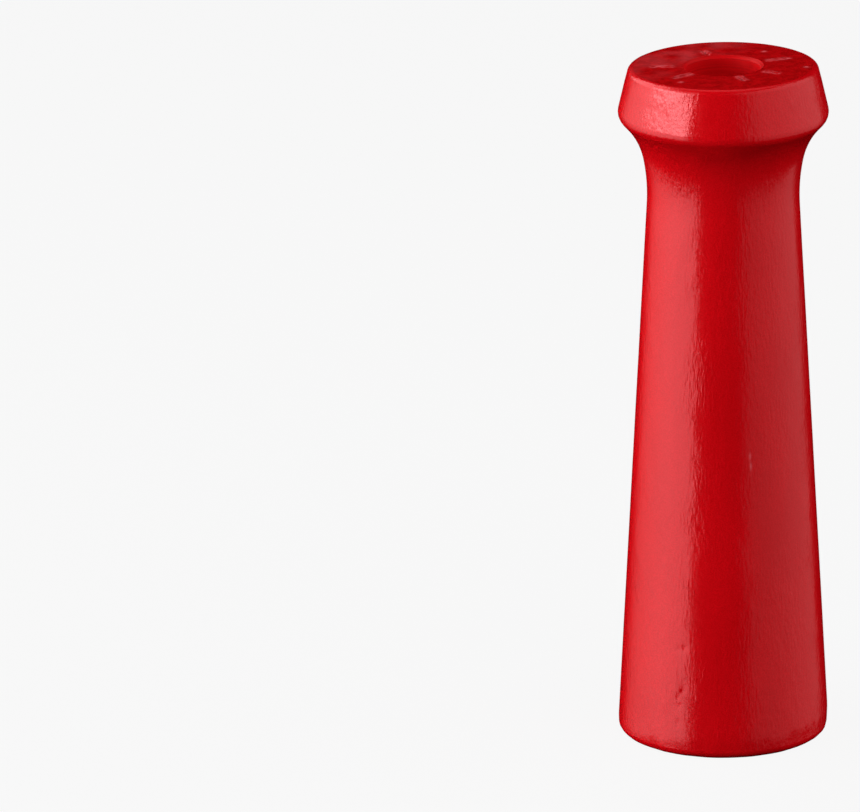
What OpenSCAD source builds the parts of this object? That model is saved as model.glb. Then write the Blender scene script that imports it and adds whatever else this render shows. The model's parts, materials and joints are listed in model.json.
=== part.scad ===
/* [Grip] */
// Overall length, from the wide end to the flared end
length = 115.5; // [112:0.5:125]
// Diameter of the wide end, over its sharp corner
wide_end_d = 35.2; // [33:0.2:38]
// Radius on the outer edge of the wide end
wide_edge_r = 1.2; // [0.4:0.1:2]
// Diameter at the waist, where the taper's line meets the cove's line
waist_d = 24.9; // [23:0.1:26]
// Height of the waist above the wide end
waist_z = 95.4; // [90:0.2:97]

/* [Flared end] */
// Diameter at the throat, where the cove's line meets the flare's line
throat_d = 27.9; // [27.2:0.1:30]
// Height of the throat above the wide end
throat_z = 102.7; // [101:0.1:103.4]
// Radius of the arc at the throat
throat_r = 12.5; // [6:0.5:13.5]
// Diameter of the ring, over its sharp corner
ring_d = 35.2; // [34:0.2:38]
// Height of the ring above the wide end
ring_z = 106.7; // [106:0.1:108.5]
// Radius that rounds the ring
ring_r = 2; // [0.5:0.1:3]
// Diameter of the flat face at the flared end, over its sharp corner
face_d = 31.1; // [28:0.1:33]
// Radius on the edge of that face
face_edge_r = 1; // [0.3:0.1:2]

/* [Bores] */
// Diameter of the rod hole, which runs through to the flared end
rod_hole_d = 12.4; // [8:0.1:14]
// Bevel on both ends of the rod hole
rod_hole_bevel = 0.5; // [0.1:0.1:1]
// Diameter of the counterbore in the wide end, which takes the nut
nut_bore_d = 24; // [18:0.5:26]
// Depth of the counterbore
nut_bore_depth = 15; // [8:0.5:30]
// Bevel on the mouth of the counterbore
nut_bore_bevel = 0.3; // [0.1:0.1:0.8]

/* [Hidden] */
$fn = 180;

enamel_red = [0.73, 0.04, 0.07];
// Straight pieces in each rounded corner of the outline.
arc_steps = 14;
// How far a cutter runs past the face that it opens.
clear = 1;

// Corners of half the outline, as [radius, height], from the axis at the wide end upwards.
wide_centre = [0, 0];
wide_corner = [wide_end_d / 2, 0];
waist_corner = [waist_d / 2, waist_z];
throat_corner = [throat_d / 2, throat_z];
ring_corner = [ring_d / 2, ring_z];
face_corner = [face_d / 2, length];
face_centre = [0, length];

function unit(v) = v / norm(v);
function turned(v, angle) = [
    v.x * cos(angle) - v.y * sin(angle),
    v.x * sin(angle) + v.y * cos(angle)
];

// Angle by which the outline turns at a corner, positive to the left.
function turn(before, corner, after) =
    let (a = unit(corner - before), b = unit(after - corner))
    atan2(cross(a, b), a * b);

// Distance from a corner to the points where an arc of radius r touches its two lines.
function touch(before, corner, after, r) = r * tan(abs(turn(before, corner, after)) / 2);

// Points of an arc of radius r that rounds a corner and touches both of its lines.
function rounded(before, corner, after, r) =
    let (
        angle = turn(before, corner, after),
        along = unit(corner - before),
        start = corner - along * touch(before, corner, after, r),
        spoke = turned(along, sign(angle) * 90) * r
    )
    [for (i = [0:arc_steps]) start + spoke - turned(spoke, angle * i / arc_steps)];

// The waist's arc starts where the throat's arc ends, so that the two make one smooth cove.
cove_line = norm(throat_corner - waist_corner);
waist_reach = cove_line - touch(waist_corner, throat_corner, ring_corner, throat_r);
waist_r = waist_reach / tan(abs(turn(wide_corner, waist_corner, throat_corner)) / 2);

// Half the outline of the turned blank, without its bores.
module outline() {
    polygon([
        wide_centre,
        each rounded(wide_centre, wide_corner, waist_corner, wide_edge_r),
        each rounded(wide_corner, waist_corner, throat_corner, waist_r),
        each rounded(waist_corner, throat_corner, ring_corner, throat_r),
        each rounded(throat_corner, ring_corner, face_corner, ring_r),
        each rounded(ring_corner, face_corner, face_centre, face_edge_r),
        face_centre
    ]);
}

// A cone that bevels the mouth of a bore whose mouth faces up, at height 0.
module bevel(bore_d, size) {
    translate([0, 0, -size])
        cylinder(d1 = bore_d, d2 = bore_d + 2 * (size + clear), h = size + clear);
}

module rod_hole() {
    cylinder(d = rod_hole_d, h = length + clear);
    translate([0, 0, length]) bevel(rod_hole_d, rod_hole_bevel);
    translate([0, 0, nut_bore_depth]) mirror([0, 0, 1]) bevel(rod_hole_d, rod_hole_bevel);
}

module nut_counterbore() {
    translate([0, 0, -clear]) cylinder(d = nut_bore_d, h = nut_bore_depth + clear);
    mirror([0, 0, 1]) bevel(nut_bore_d, nut_bore_bevel);
}

// The whole handle: one piece of turned and bored hardwood, painted all over.
module handle() {
    color(enamel_red)
    difference() {
        rotate_extrude() outline();
        rod_hole();
        nut_counterbore();
    }
}

handle();
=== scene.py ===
"""A turned wooden handle in red enamel, standing on its wide end in a small studio.

The enamelled handle stands for the CAD node in looks only: it is traced round the same outline with finer
rings, and every mark on it is cut inwards, so it stays inside the CAD box. Everything is in metres, in the
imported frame, with +Z up the rod hole. An azimuth is in degrees, 0 towards -Y and 90 towards +X.
"""
import json
import math
from typing import NamedTuple

import bpy
from mathutils import Matrix, Vector, noise


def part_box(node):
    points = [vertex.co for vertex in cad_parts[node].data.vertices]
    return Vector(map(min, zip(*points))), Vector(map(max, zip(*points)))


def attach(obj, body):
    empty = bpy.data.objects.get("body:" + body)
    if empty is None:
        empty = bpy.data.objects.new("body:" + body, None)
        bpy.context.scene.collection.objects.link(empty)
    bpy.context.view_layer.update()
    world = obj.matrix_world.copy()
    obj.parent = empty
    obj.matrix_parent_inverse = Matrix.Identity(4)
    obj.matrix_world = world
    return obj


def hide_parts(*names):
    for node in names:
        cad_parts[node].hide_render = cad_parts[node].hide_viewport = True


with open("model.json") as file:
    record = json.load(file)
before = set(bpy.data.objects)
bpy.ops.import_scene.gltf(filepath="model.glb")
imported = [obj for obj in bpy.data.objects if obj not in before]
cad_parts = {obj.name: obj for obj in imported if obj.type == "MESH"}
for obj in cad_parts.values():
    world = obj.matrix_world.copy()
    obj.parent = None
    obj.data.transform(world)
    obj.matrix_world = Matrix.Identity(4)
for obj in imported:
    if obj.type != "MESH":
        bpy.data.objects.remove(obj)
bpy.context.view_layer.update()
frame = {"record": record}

MM = 0.001
MICRON = 1e-6

# ---------------------------------------------------------------- sizes, as the CAD design has them

MOUNTS = {mount["name"]: mount for mount in frame["record"]["mounts"]}
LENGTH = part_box("handle")[1].z
WIDE_R = 17.6 * MM
WIDE_EDGE_R = 1.2 * MM
WAIST_R = 12.45 * MM
WAIST_Z = 95.4 * MM
THROAT_R = 13.95 * MM
THROAT_Z = 102.7 * MM
THROAT_ARC_R = 12.5 * MM
RING_R = 17.6 * MM
RING_Z = 106.7 * MM
RING_ARC_R = 2.0 * MM
FACE_R = 15.55 * MM
FACE_EDGE_R = 1.0 * MM
ROD_R = MOUNTS["rod_hole"]["dims"]["r_mm"] * MM
ROD_BEVEL = 0.5 * MM
NUT_R = MOUNTS["nut_counterbore"]["dims"]["r_mm"] * MM
NUT_BEVEL = 0.3 * MM
NUT_DEPTH = MOUNTS["nut_counterbore"]["dims"]["length_mm"] * MM + NUT_BEVEL
# The enamel rounds every edge that the tools left sharp.
PAINT_EDGE_R = 0.15 * MM
FLOOR_EDGE_R = 0.4 * MM

# ---------------------------------------------------------------- the outline, in rings

SEGMENTS = 360
ARC_STEPS_LEAST = 3
# Distance from the end of a straight stretch to its first ring, which keeps shading crisp there.
HOLD = 0.12 * MM


class Corner(NamedTuple):
    """A corner of half the handle's outline, and the stretch that follows it."""

    radius: float
    height: float
    rounding: float
    surface: str
    gap: float


class Ring(NamedTuple):
    """One ring of points round the axis."""

    radius: float
    height: float
    surface: str


def turn(before, corner, after):
    """Angle by which the outline turns at a corner, positive to the left."""
    along = corner - before
    onward = after - corner
    return math.atan2(along.cross(onward), along.dot(onward))


def touch(before, corner, after, radius):
    """Distance from a corner to the points where an arc of that radius touches its two lines."""
    return radius * math.tan(abs(turn(before, corner, after)) / 2)


def arc(before, corner, after, radius, gap):
    """Points of an arc of that radius that rounds a corner and touches both of its lines."""
    angle = turn(before, corner, after)
    along = (corner - before).normalized()
    start = corner - along * touch(before, corner, after, radius)
    spoke = Matrix.Rotation(math.copysign(math.pi / 2, angle), 2) @ along * radius
    steps = max(ARC_STEPS_LEAST, math.ceil(abs(angle) * radius / gap))
    return [start + spoke - Matrix.Rotation(angle * i / steps, 2) @ spoke for i in range(steps + 1)]


def straight(start, end, gap):
    """Points between the ends of a straight stretch, closer together at its two ends."""
    length = (end - start).length
    if length < HOLD:
        return []
    steps = max(1, round(length / gap))
    shares = [i / steps for i in range(1, steps)]
    if length > 4 * HOLD:
        shares = [HOLD / length] + shares + [1 - HOLD / length]
    return [start.lerp(end, share) for share in shares]


def waist_arc_radius():
    """Radius at the waist that carries the waist's arc straight into the throat's."""
    wide = Vector((WIDE_R, 0))
    waist = Vector((WAIST_R, WAIST_Z))
    throat = Vector((THROAT_R, THROAT_Z))
    ring = Vector((RING_R, RING_Z))
    reach = (throat - waist).length - touch(waist, throat, ring, THROAT_ARC_R)
    return reach / math.tan(abs(turn(wide, waist, throat)) / 2)


def outline_corners():
    """The closed outline, from the counterbore's mouth round the outside and back down the bores."""
    return [
        Corner(NUT_R + NUT_BEVEL, 0, PAINT_EDGE_R, "wide face", 0.42 * MM),
        Corner(WIDE_R, 0, WIDE_EDGE_R, "side", 1.2 * MM),
        Corner(WAIST_R, WAIST_Z, waist_arc_radius(), "side", 0.7 * MM),
        Corner(THROAT_R, THROAT_Z, THROAT_ARC_R, "side", 0.55 * MM),
        Corner(RING_R, RING_Z, RING_ARC_R, "side", 0.6 * MM),
        Corner(FACE_R, LENGTH, FACE_EDGE_R, "flared face", 0.28 * MM),
        Corner(ROD_R + ROD_BEVEL, LENGTH, PAINT_EDGE_R, "bore", 0.25 * MM),
        Corner(ROD_R, LENGTH - ROD_BEVEL, PAINT_EDGE_R, "bore", 14 * MM),
        Corner(ROD_R, NUT_DEPTH + ROD_BEVEL, PAINT_EDGE_R, "bore", 0.25 * MM),
        Corner(ROD_R + ROD_BEVEL, NUT_DEPTH, PAINT_EDGE_R, "bore", 0.35 * MM),
        Corner(NUT_R, NUT_DEPTH, FLOOR_EDGE_R, "bore", 4 * MM),
        Corner(NUT_R, NUT_BEVEL, PAINT_EDGE_R, "bore", 0.25 * MM),
    ]


def outline_rings():
    """The outline's rings in order, with each corner rounded."""
    corners = outline_corners()
    places = [Vector((c.radius, c.height)) for c in corners]
    arcs = []
    for i, corner in enumerate(corners):
        after = places[(i + 1) % len(places)]
        fine = min(corner.gap, corners[i - 1].gap)
        arcs.append(arc(places[i - 1], places[i], after, corner.rounding, fine))
    rings = []
    for i, corner in enumerate(corners):
        onward = straight(arcs[i][-1], arcs[(i + 1) % len(arcs)][0], corner.gap)
        middle = len(arcs[i]) // 2
        for j, point in enumerate(arcs[i]):
            surface = corners[i - 1].surface if j < middle else corner.surface
            rings.append(Ring(point.x, point.y, surface))
        rings += [Ring(point.x, point.y, corner.surface) for point in onward]
    kept = [ring for i, ring in enumerate(rings) if far_enough(ring, rings[i - 1])]
    return with_fine_rings(kept)


def far_enough(ring, before):
    """False where two arcs meet and a ring would lie on the one before it."""
    return math.dist(ring[:2], before[:2]) > 1 * MICRON


# Stretches of the side where marks need finer rings: from, to, and rings in each gap.
FINE_RINGS = [
    (1.6 * MM, 4.4 * MM, 3),
    (5.0 * MM, 6.8 * MM, 2),
    (8.4 * MM, 12.4 * MM, 3),
    (17.6 * MM, 20.0 * MM, 3),
    (49.4 * MM, 52.8 * MM, 3),
]


def with_fine_rings(rings):
    """The same rings, with more of them where the side has small marks."""
    finer = []
    for ring, after in zip(rings, rings[1:] + rings[:1]):
        finer.append(ring)
        middle = (ring.height + after.height) / 2
        for low, high, steps in FINE_RINGS:
            if ring.surface == after.surface == "side" and low < middle < high:
                for i in range(1, steps):
                    share = i / steps
                    radius = ring.radius + (after.radius - ring.radius) * share
                    height = ring.height + (after.height - ring.height) * share
                    finer.append(Ring(radius, height, "side"))
    return finer


# Azimuths of the columns of points: one a degree, and finer across the narrow nick and the dents.
NICK_AZIMUTH = 18
NICK_COLUMNS = range(-7, 8)
NICK_PER_DEG = 4
DENT_DEGREES = range(331, 338)
FINE_COLUMNS = [NICK_AZIMUTH + i / NICK_PER_DEG for i in NICK_COLUMNS if i % NICK_PER_DEG]
FINE_COLUMNS += [azimuth + 0.5 for azimuth in DENT_DEGREES]
AZIMUTHS = sorted([360 * i / SEGMENTS for i in range(SEGMENTS)] + FINE_COLUMNS)


# ---------------------------------------------------------------- marks cut into the surface

# Dents that the lathe's spur drive left in the flared face: azimuth, then where each starts and ends.
SPUR_MARKS = [
    (-161, 7.4 * MM, 10.6 * MM),
    (-90, 8.0 * MM, 12.0 * MM),
    (-48, 6.9 * MM, 11.2 * MM),
    (21, 6.8 * MM, 10.2 * MM),
    (61, 7.5 * MM, 10.7 * MM),
    (112, 7.6 * MM, 11.6 * MM),
]
SPUR_MARK_HALF_W = 0.26 * MM
SPUR_MARK_DEPTH = 0.22 * MM
SPUR_MARK_LIP = 0.07 * MM
# Distance from a groove's middle to its lips, in half widths.
SPUR_LIP_OFFSET = 2.1
# Where a spur mark fades in and out, from its start and from its end.
SPUR_FADE_IN = (-0.3 * MM, 0.4 * MM)
SPUR_FADE_OUT = (-0.9 * MM, 0.3 * MM)
# How far a spur mark wavers from its line, and the length of its waves.
SPUR_WAVER = 0.25 * MM
SPUR_WAVER_LENGTH = 1.3 * MM
# Nibs of dried paint on the flared face: azimuth, distance from the axis.
NIBS = [(142, 10.9 * MM), (111, 11.5 * MM), (84, 13.7 * MM), (-35, 12.1 * MM)]
NIB_R = 0.36 * MM
NIB_HEIGHT = 0.08 * MM
# The face lies this far under the CAD face, so that lips and nibs don't stand above it.
FACE_SINK = 0.08 * MM
# Past here the flared face is gloss enamel, as its side is.
GLOSS_START = 14.8 * MM
GLOSS_BLEND = (-0.4 * MM, 0.6 * MM)
# That line is ragged by this much, in steps of this length.
GLOSS_RAGGED = 0.25 * MM
GLOSS_RAGGED_LENGTH = 1.2 * MM
# Fuzz of the end grain: its height, its size, and a finer size at a share of that height.
FUZZ_HEIGHT = 0.012 * MM
FUZZ_SIZE = 1.1 * MM
FINE_FUZZ_SIZE = 0.55 * MM
FINE_FUZZ_SHARE = 0.6
WIDE_FACE_FUZZ_HEIGHT = 0.008 * MM
WIDE_FACE_FUZZ_SIZE = 0.9 * MM
# Waves and ripples that run along the grain: height, then length around and along the handle.
GRAIN_WAVES = [(0.012 * MM, 7 * MM, 16 * MM), (0.009 * MM, 2.0 * MM, 7 * MM)]
TURNING_RING_HEIGHT = 0.004 * MM
TURNING_RING_GAP = 1.7 * MM
# Rings that the drill left on the counterbore's floor.
DRILL_RING_HEIGHT = 0.025 * MM
DRILL_RING_GAP = 1.6 * MM
# Sanding has rolled off the rim of the flared face and the foot of the wide end.
RIM_ROLL = 0.12 * MM
RIM_ROLL_START = 13.8 * MM
RIM_ROLL_END = 15.6 * MM
# The flared face is cut a little out of square: it falls away that way, down the ring's own taper.
CUT_AZIMUTH = -153
CUT_SLOPE = math.tan(math.radians(1.6))
RING_TAPER = (RING_R - FACE_R) / (LENGTH - RING_Z)
# Heights between which the cut sets in, and radii between which the outline follows it down the taper.
CUT_HEIGHTS = (RING_Z + 1 * MM, LENGTH - 0.9 * MM)
CUT_RADII = (10 * MM, 15 * MM)
RIM_ROLL_HEIGHTS = (LENGTH - 3 * MM, LENGTH - 0.9 * MM)
# The foot draws in below this height, outside the first of these radii.
FOOT_START = 3.0 * MM
FOOT_LEAN = math.tan(math.radians(5.6))
FOOT_SOFTNESS = 0.5 * MM
FOOT_RADII = (14 * MM, 16.4 * MM)
# Its line is higher towards +X, and ragged, as shares of that height.
FOOT_TILT = 0.3
FOOT_RAGGED = 0.35
FOOT_RAGGED_LENGTH = 2.5 * MM


class Dent(NamedTuple):
    """A small knock in the side."""

    azimuth: float
    height: float
    half_w: float
    half_h: float
    depth: float


# Two chips in line, which are painted pale as a painted glint.
NICKS = [
    Dent(NICK_AZIMUTH, 50.3 * MM, 0.20 * MM, 0.60 * MM, 0.08 * MM),
    Dent(NICK_AZIMUTH - 0.4, 52.0 * MM, 0.20 * MM, 0.50 * MM, 0.08 * MM),
]
SIDE_DENTS = NICKS + [
    Dent(-23.6, 11.5 * MM, 0.40 * MM, 0.55 * MM, 0.10 * MM),
    Dent(-26.4, 10.3 * MM, 0.40 * MM, 0.45 * MM, 0.11 * MM),
    Dent(-25.6, 8.9 * MM, 0.45 * MM, 0.35 * MM, 0.10 * MM),
    Dent(-23.0, 18.9 * MM, 0.50 * MM, 0.40 * MM, 0.11 * MM),
    Dent(-26.6, 18.6 * MM, 0.40 * MM, 0.35 * MM, 0.09 * MM),
    Dent(-26.0, 5.9 * MM, 0.45 * MM, 0.50 * MM, 0.11 * MM),
    Dent(141.0, 6.3 * MM, 0.5 * MM, 0.8 * MM, 0.06 * MM),
]

# Painted glint, pale: its most in a nick or a spur mark, and the groove depth that already gives it all.
MARK_GLINT = 0.7
MARK_GLINT_DEPTH = 0.35 * SPUR_MARK_DEPTH
MARK_GLINT_MIDDLE = 0.55
MARK_GLINT_SIZE = 0.6 * MM
# One side of the flared face is painted lighter: a painted sheen of the light from that side. It sets in
# between these distances from the axis.
SHEEN_AZIMUTH = -128
SHEEN_START = (1 * MM, 9 * MM)
SHEEN_SHARE = 0.16
SHEEN_MIDDLE = 0.5
SHEEN_CONTRAST = 1.2
SHEEN_SIZE = 3 * MM


def spoke_at(azimuth):
    """Unit vector from the axis towards an azimuth."""
    angle = math.radians(azimuth)
    return Vector((math.sin(angle), -math.cos(angle), 0))


def bell(distance, width):
    """1 at no distance, falling smoothly towards 0 past the width."""
    return math.exp(-((distance / width) ** 2))


def smooth_step(value, low, high):
    """0 below low, 1 above high, and a smooth rise between."""
    share = min(1.0, max(0.0, (value - low) / (high - low)))
    return share * share * (3 - 2 * share)


def soft_hinge(value, softness):
    """0 below 0 and the value itself above, with a soft bend between the two."""
    if value < -softness:
        return 0
    if value > softness:
        return value
    return (value + softness) ** 2 / (4 * softness)


def noise_of(place, around, along):
    """Noise of about -0.5 to 0.5, with features that size around and along the handle."""
    return noise.noise(Vector((place.x / around, place.y / around, place.z / along)))


def on_face(place, azimuth):
    """Where a place lies on the flared face, as distances along and across that azimuth."""
    angle = math.radians(azimuth)
    along = place.x * math.sin(angle) - place.y * math.cos(angle)
    across = place.x * math.cos(angle) + place.y * math.sin(angle)
    return along, across


def spur_mark(across, along, start, end):
    """Height of one spur mark at a place beside its line: a groove with a lip on both sides."""
    ends = smooth_step(along, start + SPUR_FADE_IN[0], start + SPUR_FADE_IN[1])
    ends *= 1 - smooth_step(along, end + SPUR_FADE_OUT[0], end + SPUR_FADE_OUT[1])
    groove = SPUR_MARK_DEPTH * bell(across, SPUR_MARK_HALF_W)
    from_lip = abs(across) - SPUR_LIP_OFFSET * SPUR_MARK_HALF_W
    lip = SPUR_MARK_LIP * bell(from_lip, SPUR_MARK_HALF_W)
    return (lip - groove) * ends


def spur_marks(place):
    """Height of all the spur marks at a place on the flared face."""
    height = 0
    for azimuth, start, end in SPUR_MARKS:
        along, across = on_face(place, azimuth)
        if along > 0:
            across += SPUR_WAVER * noise_of(place, SPUR_WAVER_LENGTH, SPUR_WAVER_LENGTH)
            height += spur_mark(across, along, start, end)
    return height


def nibs(place):
    """Share of a nib's height at a place on the flared face."""
    share = 0
    for azimuth, distance in NIBS:
        along, across = on_face(place, azimuth)
        share += bell(math.hypot(along - distance, across), NIB_R)
    return share


def flared_face_relief(place):
    """Height of the end grain, sunk a little, with the spur marks and nibs in it."""
    fuzz = noise_of(place, FUZZ_SIZE, FUZZ_SIZE)
    fuzz += FINE_FUZZ_SHARE * noise_of(place, FINE_FUZZ_SIZE, FINE_FUZZ_SIZE)
    height = -FACE_SINK + FUZZ_HEIGHT * fuzz + spur_marks(place) + NIB_HEIGHT * nibs(place)
    return min(height, -1 * MICRON)


def depth_of(dents, place):
    """Depth of those dents at a place."""
    depth = 0
    for dent in dents:
        if abs(place.z - dent.height) < 3 * dent.half_h:
            outwards, across = on_face(place, dent.azimuth)
            if outwards > 0:
                depth += dent.depth * bell(across, dent.half_w) * bell(place.z - dent.height, dent.half_h)
    return depth


def side_relief(place):
    """Waves and ripples along the grain, faint turning rings and dents, all inwards."""
    height = 0
    for depth, around, along in GRAIN_WAVES:
        height -= depth * (1 + noise_of(place, around, along))
    rings = TURNING_RING_HEIGHT * (1 + noise.noise(Vector((0, 0, place.z / TURNING_RING_GAP))))
    return height - rings - depth_of(SIDE_DENTS, place)


def relief(place, surface):
    """How far the surface stands out from the CAD solid there. It is never above 0."""
    if surface == "flared face":
        radius = math.hypot(place.x, place.y)
        gloss = smooth_step(radius, GLOSS_START + GLOSS_BLEND[0], GLOSS_START + GLOSS_BLEND[1])
        return flared_face_relief(place) * (1 - gloss) + side_relief(place) * gloss
    if surface == "side":
        return side_relief(place)
    if surface == "wide face":
        fuzz = noise_of(place, WIDE_FACE_FUZZ_SIZE, WIDE_FACE_FUZZ_SIZE)
        return -WIDE_FACE_FUZZ_HEIGHT * (1 + fuzz)
    if abs(place.z - NUT_DEPTH) < 1 * MICRON:
        radius = math.hypot(place.x, place.y)
        return -DRILL_RING_HEIGHT * (1 + math.cos(2 * math.pi * radius / DRILL_RING_GAP))
    return 0


def rolled_off(place):
    """A place after cutting and sanding: the flared face leans, its rim drops, and the foot draws in."""
    radius = math.hypot(place.x, place.y)
    along, _ = on_face(place, CUT_AZIMUTH)
    cut = CUT_SLOPE * max(0, along + FACE_R) * smooth_step(place.z, *CUT_HEIGHTS)
    spread = RING_TAPER * cut * smooth_step(radius, *CUT_RADII)
    rim = max(0, (radius - RIM_ROLL_START) / (RIM_ROLL_END - RIM_ROLL_START))
    drop = cut + RIM_ROLL * rim**2 * smooth_step(place.z, *RIM_ROLL_HEIGHTS)
    bumps = noise.noise(Vector((place.x, place.y, 0)) / FOOT_RAGGED_LENGTH)
    ragged = FOOT_TILT * place.x / radius + FOOT_RAGGED * bumps
    below = soft_hinge(FOOT_START * (1 + ragged) - place.z, FOOT_SOFTNESS)
    inset = FOOT_LEAN * below * smooth_step(radius, *FOOT_RADII)
    share = 1 + (spread - inset) / radius
    return Vector((place.x * share, place.y * share, place.z - drop))


def painted_glint(place, surface):
    """Share painted pale: a painted glint in the nicks and on the flared face's spur marks, the nibs
    painted pale as well, and a painted sheen on one side.
    """
    if surface == "side":
        # A painted glint in the nicks.
        return min(1, MARK_GLINT * depth_of(NICKS, place) / NICKS[0].depth)
    if surface != "flared face":
        return 0
    # A painted glint on the spur marks.
    marks = min(1, abs(spur_marks(place)) / MARK_GLINT_DEPTH)
    marks *= MARK_GLINT_MIDDLE + noise_of(place, MARK_GLINT_SIZE, MARK_GLINT_SIZE)
    # A painted sheen, lighter on one side of the face.
    along, _ = on_face(place, SHEEN_AZIMUTH)
    patchy = SHEEN_MIDDLE + SHEEN_CONTRAST * noise_of(place, SHEEN_SIZE, SHEEN_SIZE)
    sheen = smooth_step(along, *SHEEN_START) * patchy
    return min(1, MARK_GLINT * max(0, marks) + nibs(place) + SHEEN_SHARE * max(0, sheen))


# ---------------------------------------------------------------- the mesh


def outward(rings, i):
    """Unit normal of the outline at a ring, as (radius, height)."""
    before, after = rings[i - 1], rings[(i + 1) % len(rings)]
    along = Vector((after.radius - before.radius, after.height - before.height))
    return Vector((along.y, -along.x)).normalized()


def handle_points(rings):
    """The points of all the rings, each moved along its normal by the relief, and their share of painted
    glint and painted sheen.
    """
    points, glinting = [], []
    for i, ring in enumerate(rings):
        normal = outward(rings, i)
        for azimuth in AZIMUTHS:
            spoke = spoke_at(azimuth)
            place = spoke * ring.radius + Vector((0, 0, ring.height))
            moved = (spoke * normal.x + Vector((0, 0, normal.y))) * relief(place, ring.surface)
            points.append(rolled_off(place + moved))
            glinting.append(painted_glint(place, ring.surface))
    return points, glinting


def handle_faces(ring_count):
    """Quads between neighbouring rings, wound so that they face out of the wood."""
    faces = []
    columns = len(AZIMUTHS)
    for i in range(ring_count):
        here, above = i * columns, (i + 1) % ring_count * columns
        for j in range(columns):
            k = (j + 1) % columns
            faces.append((here + j, here + k, above + k, above + j))
    return faces


FINISHES = {"side": 0, "wide face": 1, "flared face": 1, "bore": 2}


def finish_at(ring, azimuth):
    """Material slot there. The flared face turns to gloss along a ragged line near its rim."""
    place = spoke_at(azimuth) * ring.radius
    ragged = GLOSS_START + GLOSS_RAGGED * noise_of(place, GLOSS_RAGGED_LENGTH, GLOSS_RAGGED_LENGTH)
    if ring.surface == "flared face" and ring.radius > ragged:
        return FINISHES["side"]
    return FINISHES[ring.surface]


def build_handle():
    """The whole handle as one closed mesh, with a material slot for each kind of surface."""
    rings = outline_rings()
    points, glinting = handle_points(rings)
    mesh = bpy.data.meshes.new("handle_enamelled")
    mesh.from_pydata(points, [], handle_faces(len(rings)))
    for material in (gloss_enamel(), end_grain_enamel(), bore_enamel()):
        mesh.materials.append(material)
    finishes = [finish_at(ring, azimuth) for ring in rings for azimuth in AZIMUTHS]
    mesh.polygons.foreach_set("material_index", finishes)
    # Per point share of painted glint and painted sheen, which turns the enamel pale.
    mesh.attributes.new("painted_glint", "FLOAT", "POINT").data.foreach_set("value", glinting)
    mesh.shade_smooth()
    handle = bpy.data.objects.new("handle_enamelled", mesh)
    bpy.context.scene.collection.objects.link(handle)
    return handle


# ---------------------------------------------------------------- materials

# Enamel colours, linear.
ENAMEL_RED = (0.80, 0.003, 0.008, 1)
ENAMEL_RED_DEEP = (0.72, 0.0025, 0.007, 1)
ENAMEL_SPECK = (0.58, 0.0003, 0.001, 1)
END_GRAIN_RED = (0.55, 0.002, 0.004, 1)
END_GRAIN_DARK = (0.38, 0.001, 0.002, 1)
# Pale pink of the painted glints on nicks and spur marks and of the painted sheen on one side of the
# flared face. The nibs take it too.
GLINT_PINK = (0.82, 0.12, 0.14, 1)
BORE_RED = (0.68, 0.003, 0.006, 1)
# The red pigment lies right under the surface and tints its gloss.
ENAMEL_IOR = 1.6
ENAMEL_GLOSS_LEVEL = 1.0
ENAMEL_GLOSS_TINT = (1, 0.375, 0.40, 1)
ENAMEL_ROUGHNESS = (0.16, 0.21)
# Sizes in the gloss enamel, and the heights in microns of what stands out in it.
BLOTCH_SIZE = 9 * MM
SPECK_SIZE = 0.22 * MM
SPECK_SHARE = 0.5
GRAIN_SIZE = 0.42 * MM
GRAIN_HEIGHTS = (25.0, 90.0)
GRAIN_PATCH_SIZE = 7 * MM
PEEL_SIZE = 0.6 * MM
PEEL_HEIGHT = 32.0
SWELL_SIZE = 2.6 * MM
SWELL_HEIGHT = 45.0
# The same for the end grain and the bores, which gloss much less.
END_GRAIN_GLOSS_LEVEL = 0.01
END_GRAIN_ROUGHNESS = (0.75, 0.6)
MOTTLE_SIZE = 1.6 * MM
MOTTLE_HEIGHT = 60.0
FIBRE_SIZE = 0.35 * MM
FIBRE_HEIGHT = 30.0
BORE_GLOSS_LEVEL = 0.08
BORE_ROUGHNESS = (0.38, 0.5)
BORE_RING_SIZE = 60 * MM
BORE_RING_STRETCH = 0.008
BORE_RING_HEIGHT = 30.0


def add(tree, kind, inputs=None, **settings):
    """A new node, with its settings, and its inputs linked or given a value by name or number."""
    made = tree.nodes.new(kind)
    for name, value in settings.items():
        setattr(made, name, value)
    for key, value in (inputs or {}).items():
        if isinstance(value, bpy.types.NodeSocket):
            tree.links.new(value, made.inputs[key])
        else:
            made.inputs[key].default_value = value
    return made


def new_material(name):
    """A material, its tree, its Principled shader and the object's own coordinates, in metres."""
    material = bpy.data.materials.new(name)
    material.use_nodes = True
    tree = material.node_tree
    shader = tree.nodes["Principled BSDF"]
    shader.inputs["IOR"].default_value = ENAMEL_IOR
    place = add(tree, "ShaderNodeTexCoord").outputs["Object"]
    return material, tree, shader, place


def noise_at(tree, place, size, stretch=1.0, detail=2.0, rough=0.5):
    """Noise from 0 to 1 with features about size across, drawn out along Z by stretch."""
    scale = (1 / size, 1 / size, 1 / (size * stretch))
    scaled = add(tree, "ShaderNodeVectorMath", {0: place, 1: scale}, operation="MULTIPLY")
    made = add(
        tree,
        "ShaderNodeTexNoise",
        {"Vector": scaled.outputs[0], "Scale": 1.0, "Detail": detail, "Roughness": rough},
    )
    return made.outputs["Fac"]


def ramp(tree, value, low, high, out_low=0.0, out_high=1.0):
    """A value carried from one range to another, smoothly and clamped at both ends."""
    made = add(
        tree,
        "ShaderNodeMapRange",
        {"Value": value, "From Min": low, "From Max": high, "To Min": out_low, "To Max": out_high},
        interpolation_type="SMOOTHSTEP",
    )
    return made.outputs["Result"]


def math_node(tree, operation, a, b):
    """One arithmetic step."""
    return add(tree, "ShaderNodeMath", {0: a, 1: b}, operation=operation).outputs[0]


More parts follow.
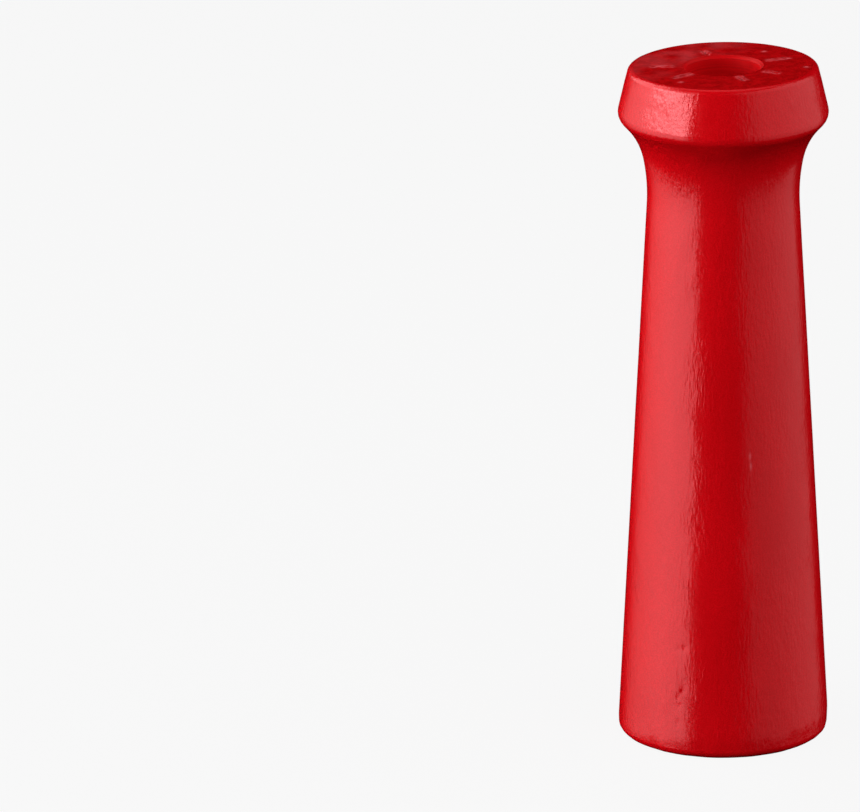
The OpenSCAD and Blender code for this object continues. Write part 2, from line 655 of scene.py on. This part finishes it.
def mix_colour(tree, share, a, b):
    """Colour a where the share is 0 and colour b where it is 1."""
    made = add(tree, "ShaderNodeMix", {"Factor": share, 6: a, 7: b}, data_type="RGBA")
    return made.outputs[2]


def total(tree, *heights):
    """The sum of several heights."""
    summed = heights[0]
    for height in heights[1:]:
        summed = math_node(tree, "ADD", summed, height)
    return summed


def bump_from(tree, height_in_microns):
    """A normal from a height that is given in microns."""
    made = add(tree, "ShaderNodeBump", {"Strength": 1.0, "Distance": MICRON, "Height": height_in_microns})
    return made.outputs["Normal"]


def with_painted_glint(tree, colour):
    """The colour, turned pale where the mesh holds painted glints and a painted sheen."""
    # Painted glints and painted sheen, read from the mesh.
    glinting = add(tree, "ShaderNodeAttribute", attribute_name="painted_glint").outputs["Fac"]
    return mix_colour(tree, glinting, colour, GLINT_PINK)


def connect(tree, shader, colour, roughness, height):
    """Links a colour, a roughness and a height in microns to a shader."""
    tree.links.new(colour, shader.inputs["Base Color"])
    tree.links.new(roughness, shader.inputs["Roughness"])
    tree.links.new(bump_from(tree, height), shader.inputs["Normal"])


def gloss_enamel():
    """The side: finely specked gloss enamel with faint orange peel, over grain that shows as ripples."""
    material, tree, shader, place = new_material("gloss_enamel")
    blotch = noise_at(tree, place, BLOTCH_SIZE, stretch=2.5, detail=3)
    colour = mix_colour(tree, ramp(tree, blotch, 0.35, 0.65), ENAMEL_RED_DEEP, ENAMEL_RED)
    specks = noise_at(tree, place, SPECK_SIZE, detail=1)
    colour = mix_colour(tree, ramp(tree, specks, 0.35, 0.65, 0.0, SPECK_SHARE), colour, ENAMEL_SPECK)
    grain = noise_at(tree, place, GRAIN_SIZE, stretch=4, detail=2)
    patches = noise_at(tree, place, GRAIN_PATCH_SIZE, stretch=1.6)
    peel = noise_at(tree, place, PEEL_SIZE, detail=3)
    swell = noise_at(tree, place, SWELL_SIZE, stretch=2, detail=1)
    height = total(
        tree,
        math_node(tree, "MULTIPLY", grain, ramp(tree, patches, 0.42, 0.6, *GRAIN_HEIGHTS)),
        math_node(tree, "MULTIPLY", peel, PEEL_HEIGHT),
        math_node(tree, "MULTIPLY", swell, SWELL_HEIGHT),
    )
    shader.inputs["Specular IOR Level"].default_value = ENAMEL_GLOSS_LEVEL
    shader.inputs["Specular Tint"].default_value = ENAMEL_GLOSS_TINT
    roughness = ramp(tree, peel, 0.3, 0.7, *ENAMEL_ROUGHNESS)
    connect(tree, shader, with_painted_glint(tree, colour), roughness, height)
    return material


def end_grain_enamel():
    """The two end faces: thin matte enamel that the end grain has drunk in, mottled and open-pored."""
    material, tree, shader, place = new_material("end_grain_enamel")
    mottle = noise_at(tree, place, MOTTLE_SIZE, detail=4, rough=0.65)
    colour = mix_colour(tree, ramp(tree, mottle, 0.35, 0.65), END_GRAIN_DARK, END_GRAIN_RED)
    fibre = noise_at(tree, place, FIBRE_SIZE, detail=2)
    height = total(
        tree,
        math_node(tree, "MULTIPLY", fibre, FIBRE_HEIGHT),
        math_node(tree, "MULTIPLY", mottle, MOTTLE_HEIGHT),
    )
    shader.inputs["Specular IOR Level"].default_value = END_GRAIN_GLOSS_LEVEL
    roughness = ramp(tree, mottle, 0.3, 0.7, *END_GRAIN_ROUGHNESS)
    connect(tree, shader, with_painted_glint(tree, colour), roughness, height)
    return material


def bore_enamel():
    """Inside the bores: a thinner coat over the rings that the drill left."""
    material, tree, shader, place = new_material("bore_enamel")
    rings = noise_at(tree, place, BORE_RING_SIZE, stretch=BORE_RING_STRETCH, detail=2)
    colour = mix_colour(tree, ramp(tree, rings, 0.3, 0.7), BORE_RED, END_GRAIN_RED)
    height = math_node(tree, "MULTIPLY", rings, BORE_RING_HEIGHT)
    shader.inputs["Specular IOR Level"].default_value = BORE_GLOSS_LEVEL
    connect(tree, shader, colour, ramp(tree, rings, 0.3, 0.7, *BORE_ROUGHNESS), height)
    return material


# ---------------------------------------------------------------- studio

FLOOR_TONE = 0.93
# The floor's own paint is nearly black, and the lights add this much to its glow.
FLOOR_PAINT = 0.03
FLOOR_LIT = 0.02
FLOOR_R = 3.0
# The handle stands in a tent of soft light: two curved walls round the axis, open in front.
TENT_R = 0.62
TENT_LOW = -0.24
TENT_HIGH = 0.95
TENT_STEP_DEG = 2
TENT_ROWS = 60
LEFT_WALL = (-38.5, -139)
RIGHT_WALL = (28, 133)
# Both walls get brighter with height, from this height up.
GROWTH_START = -0.1
# The left wall: radiance low down, its growth with height, and how soon it fades in from its back edge.
LEFT_LOW = 1.4
LEFT_GROWTH = 1.1
LEFT_FADE_DEG = 64
# Heights between which its upper part begins, and azimuths between which that turns to its front.
UPPER_START = (0.148, 0.168)
UPPER_FRONT = (-98, -87)
# Radiance of that part behind and in front, and where and how much the front gets dimmer with height.
HIGH_BEHIND = 1.9
HIGH_IN_FRONT = 5.4
HIGH_DIMMING = 0.9
HIGH_DIMMING_HEIGHTS = (0.26, 0.6)
# The right wall: azimuth, radiance there and change a degree, on its rising and its falling side.
RIGHT_RISE = (29, 0.18, 0.0038)
RIGHT_FALL = (92, 0.42, -0.0032)
RIGHT_GROWTH = 2.2
RIGHT_GROWTH_MOST = 1.9


class Panel(NamedTuple):
    """A square soft light that faces the handle's middle."""

    name: str
    radiance: float
    azimuth: float
    elevation: float
    distance: float
    size: float
    in_gloss: bool


PANELS = [
    Panel("top_light", 0.35, 180, 70, 1.0, 0.7, True),
    Panel("front_fill", 3.0, 35, 39, 1.7, 1.0, False),
    Panel("right_fill", 3.4, 85, 20, 1.7, 1.0, False),
    Panel("left_fill", 1.4, -75, 0, 1.7, 1.0, False),
]


def left_radiance(azimuth, height):
    """Bright, fading out towards the back, and far brighter in its upper part in front."""
    risen = height - GROWTH_START
    fade = min(1, (azimuth - LEFT_WALL[1]) / LEFT_FADE_DEG + max(0, risen))
    low = LEFT_LOW * fade * (1 + LEFT_GROWTH * risen)
    high_in_front = HIGH_IN_FRONT * (1 - HIGH_DIMMING * smooth_step(height, *HIGH_DIMMING_HEIGHTS))
    high = HIGH_BEHIND + (high_in_front - HIGH_BEHIND) * smooth_step(azimuth, *UPPER_FRONT)
    return low + (high - low) * smooth_step(height, *UPPER_START)


def right_radiance(azimuth, height):
    """Dim, growing away from its front edge and with height."""
    sides = (RIGHT_RISE, RIGHT_FALL)
    level = min(radiance + change * (azimuth - start) for start, radiance, change in sides)
    return level * min(RIGHT_GROWTH_MOST, 1 + RIGHT_GROWTH * (height - GROWTH_START))


def light_wall(name, wall, radiance_at):
    """A curved sheet of light from one azimuth to another, seen by gloss but not by the camera."""
    columns = round(abs(wall[1] - wall[0]) / TENT_STEP_DEG)
    points, radiances, faces = [], [], []
    for i in range(columns + 1):
        azimuth = wall[0] + (wall[1] - wall[0]) * i / columns
        angle = math.radians(azimuth)
        for j in range(TENT_ROWS + 1):
            height = TENT_LOW + (TENT_HIGH - TENT_LOW) * j / TENT_ROWS
            points.append((TENT_R * math.sin(angle), -TENT_R * math.cos(angle), height))
            radiances.append(radiance_at(azimuth, height))
    for i in range(columns):
        for j in range(TENT_ROWS):
            corner = i * (TENT_ROWS + 1) + j
            faces.append((corner, corner + 1, corner + TENT_ROWS + 2, corner + TENT_ROWS + 1))
    mesh = bpy.data.meshes.new(name)
    mesh.from_pydata(points, [], faces)
    mesh.attributes.new("radiance", "FLOAT", "POINT").data.foreach_set("value", radiances)
    material, tree, shader, _ = new_material(name)
    shader.inputs["Base Color"].default_value = (0, 0, 0, 1)
    shader.inputs["Specular IOR Level"].default_value = 0
    shader.inputs["Emission Color"].default_value = (1, 1, 1, 1)
    radiance = add(tree, "ShaderNodeAttribute", attribute_name="radiance").outputs["Fac"]
    tree.links.new(radiance, shader.inputs["Emission Strength"])
    mesh.materials.append(material)
    sheet = bpy.data.objects.new(name, mesh)
    bpy.context.scene.collection.objects.link(sheet)
    sheet.visible_camera = False
    sheet.visible_shadow = False


def soft_light(panel):
    """The lamp of a panel."""
    lamp = bpy.data.lights.new(panel.name, "AREA")
    lamp.shape = "SQUARE"
    lamp.size = panel.size
    lamp.energy = panel.radiance * math.pi * panel.size * panel.size
    light = bpy.data.objects.new(panel.name, lamp)
    turn_out = Matrix.Rotation(math.radians(panel.azimuth), 4, "Z")
    lean = Matrix.Rotation(math.radians(90 - panel.elevation), 4, "X")
    middle = Matrix.Translation((0, 0, LENGTH / 2))
    light.matrix_world = middle @ turn_out @ lean @ Matrix.Translation((0, 0, panel.distance))
    light.visible_glossy = panel.in_gloss
    bpy.context.scene.collection.objects.link(light)


def light_studio():
    """The two walls, a soft light high up behind, and fill that gloss doesn't show."""
    light_wall("left_wall", LEFT_WALL, left_radiance)
    light_wall("right_wall", RIGHT_WALL, right_radiance)
    for panel in PANELS:
        soft_light(panel)


def build_floor():
    """A pale floor that only the camera sees: it throws nothing back onto the gloss."""
    mesh = bpy.data.meshes.new("floor")
    corners = [(-1, -1), (1, -1), (1, 1), (-1, 1)]
    mesh.from_pydata([(x * FLOOR_R, y * FLOOR_R, 0) for x, y in corners], [], [(0, 1, 2, 3)])
    material, tree, shader, _ = new_material("pale_floor")
    shader.inputs["Base Color"].default_value = (FLOOR_PAINT, FLOOR_PAINT, FLOOR_PAINT, 1)
    shader.inputs["Specular IOR Level"].default_value = 0
    shader.inputs["Roughness"].default_value = 1
    shader.inputs["Emission Color"].default_value = (1, 1, 1, 1)
    shader.inputs["Emission Strength"].default_value = FLOOR_TONE - FLOOR_LIT
    mesh.materials.append(material)
    floor = bpy.data.objects.new("floor", mesh)
    bpy.context.scene.collection.objects.link(floor)
    floor.visible_diffuse = False
    floor.visible_glossy = False
    floor.visible_shadow = False


def build_world():
    """White behind the handle for the camera, and dark for everything else."""
    world = bpy.data.worlds.new("studio")
    bpy.context.scene.world = world
    world.use_nodes = True
    tree = world.node_tree
    background = tree.nodes["Background"]
    seen = add(tree, "ShaderNodeLightPath").outputs["Is Camera Ray"]
    tone = ramp(tree, seen, 0, 1, 0.0, FLOOR_TONE)
    background.inputs["Color"].default_value = (1, 1, 1, 1)
    tree.links.new(tone, background.inputs["Strength"])


# ---------------------------------------------------------------- camera

CAMERA_BACK = 2.2116
CAMERA_UP = 0.7772
CAMERA_DIP = math.radians(18.054)
# The handle stands right of the picture's middle, and the roll keeps its axis upright there.
CAMERA_YAW = math.radians(1.2598)
CAMERA_ROLL = math.radians(0.3917)
CAMERA_LENS_MM = 587.2
SENSOR_MM = 36
CAMERA_CLIP = (0.1, 10)


def build_camera():
    """A long lens, in front of the handle and above it."""
    data = bpy.data.cameras.new("camera")
    data.sensor_width = SENSOR_MM
    data.lens = CAMERA_LENS_MM
    data.clip_start, data.clip_end = CAMERA_CLIP
    camera = bpy.data.objects.new("camera", data)
    aim = Matrix.Rotation(CAMERA_YAW, 4, "Z") @ Matrix.Rotation(math.pi / 2 - CAMERA_DIP, 4, "X")
    aim = aim @ Matrix.Rotation(-CAMERA_ROLL, 4, "Z")
    camera.matrix_world = Matrix.Translation((0, -CAMERA_BACK, CAMERA_UP)) @ aim
    bpy.context.scene.collection.objects.link(camera)
    bpy.context.scene.camera = camera


# ---------------------------------------------------------------- the whole scene

build_camera()
build_world()
build_floor()
light_studio()
handle = build_handle()
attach(handle, "root")
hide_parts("handle")
bpy.context.scene.view_settings.view_transform = "Standard"
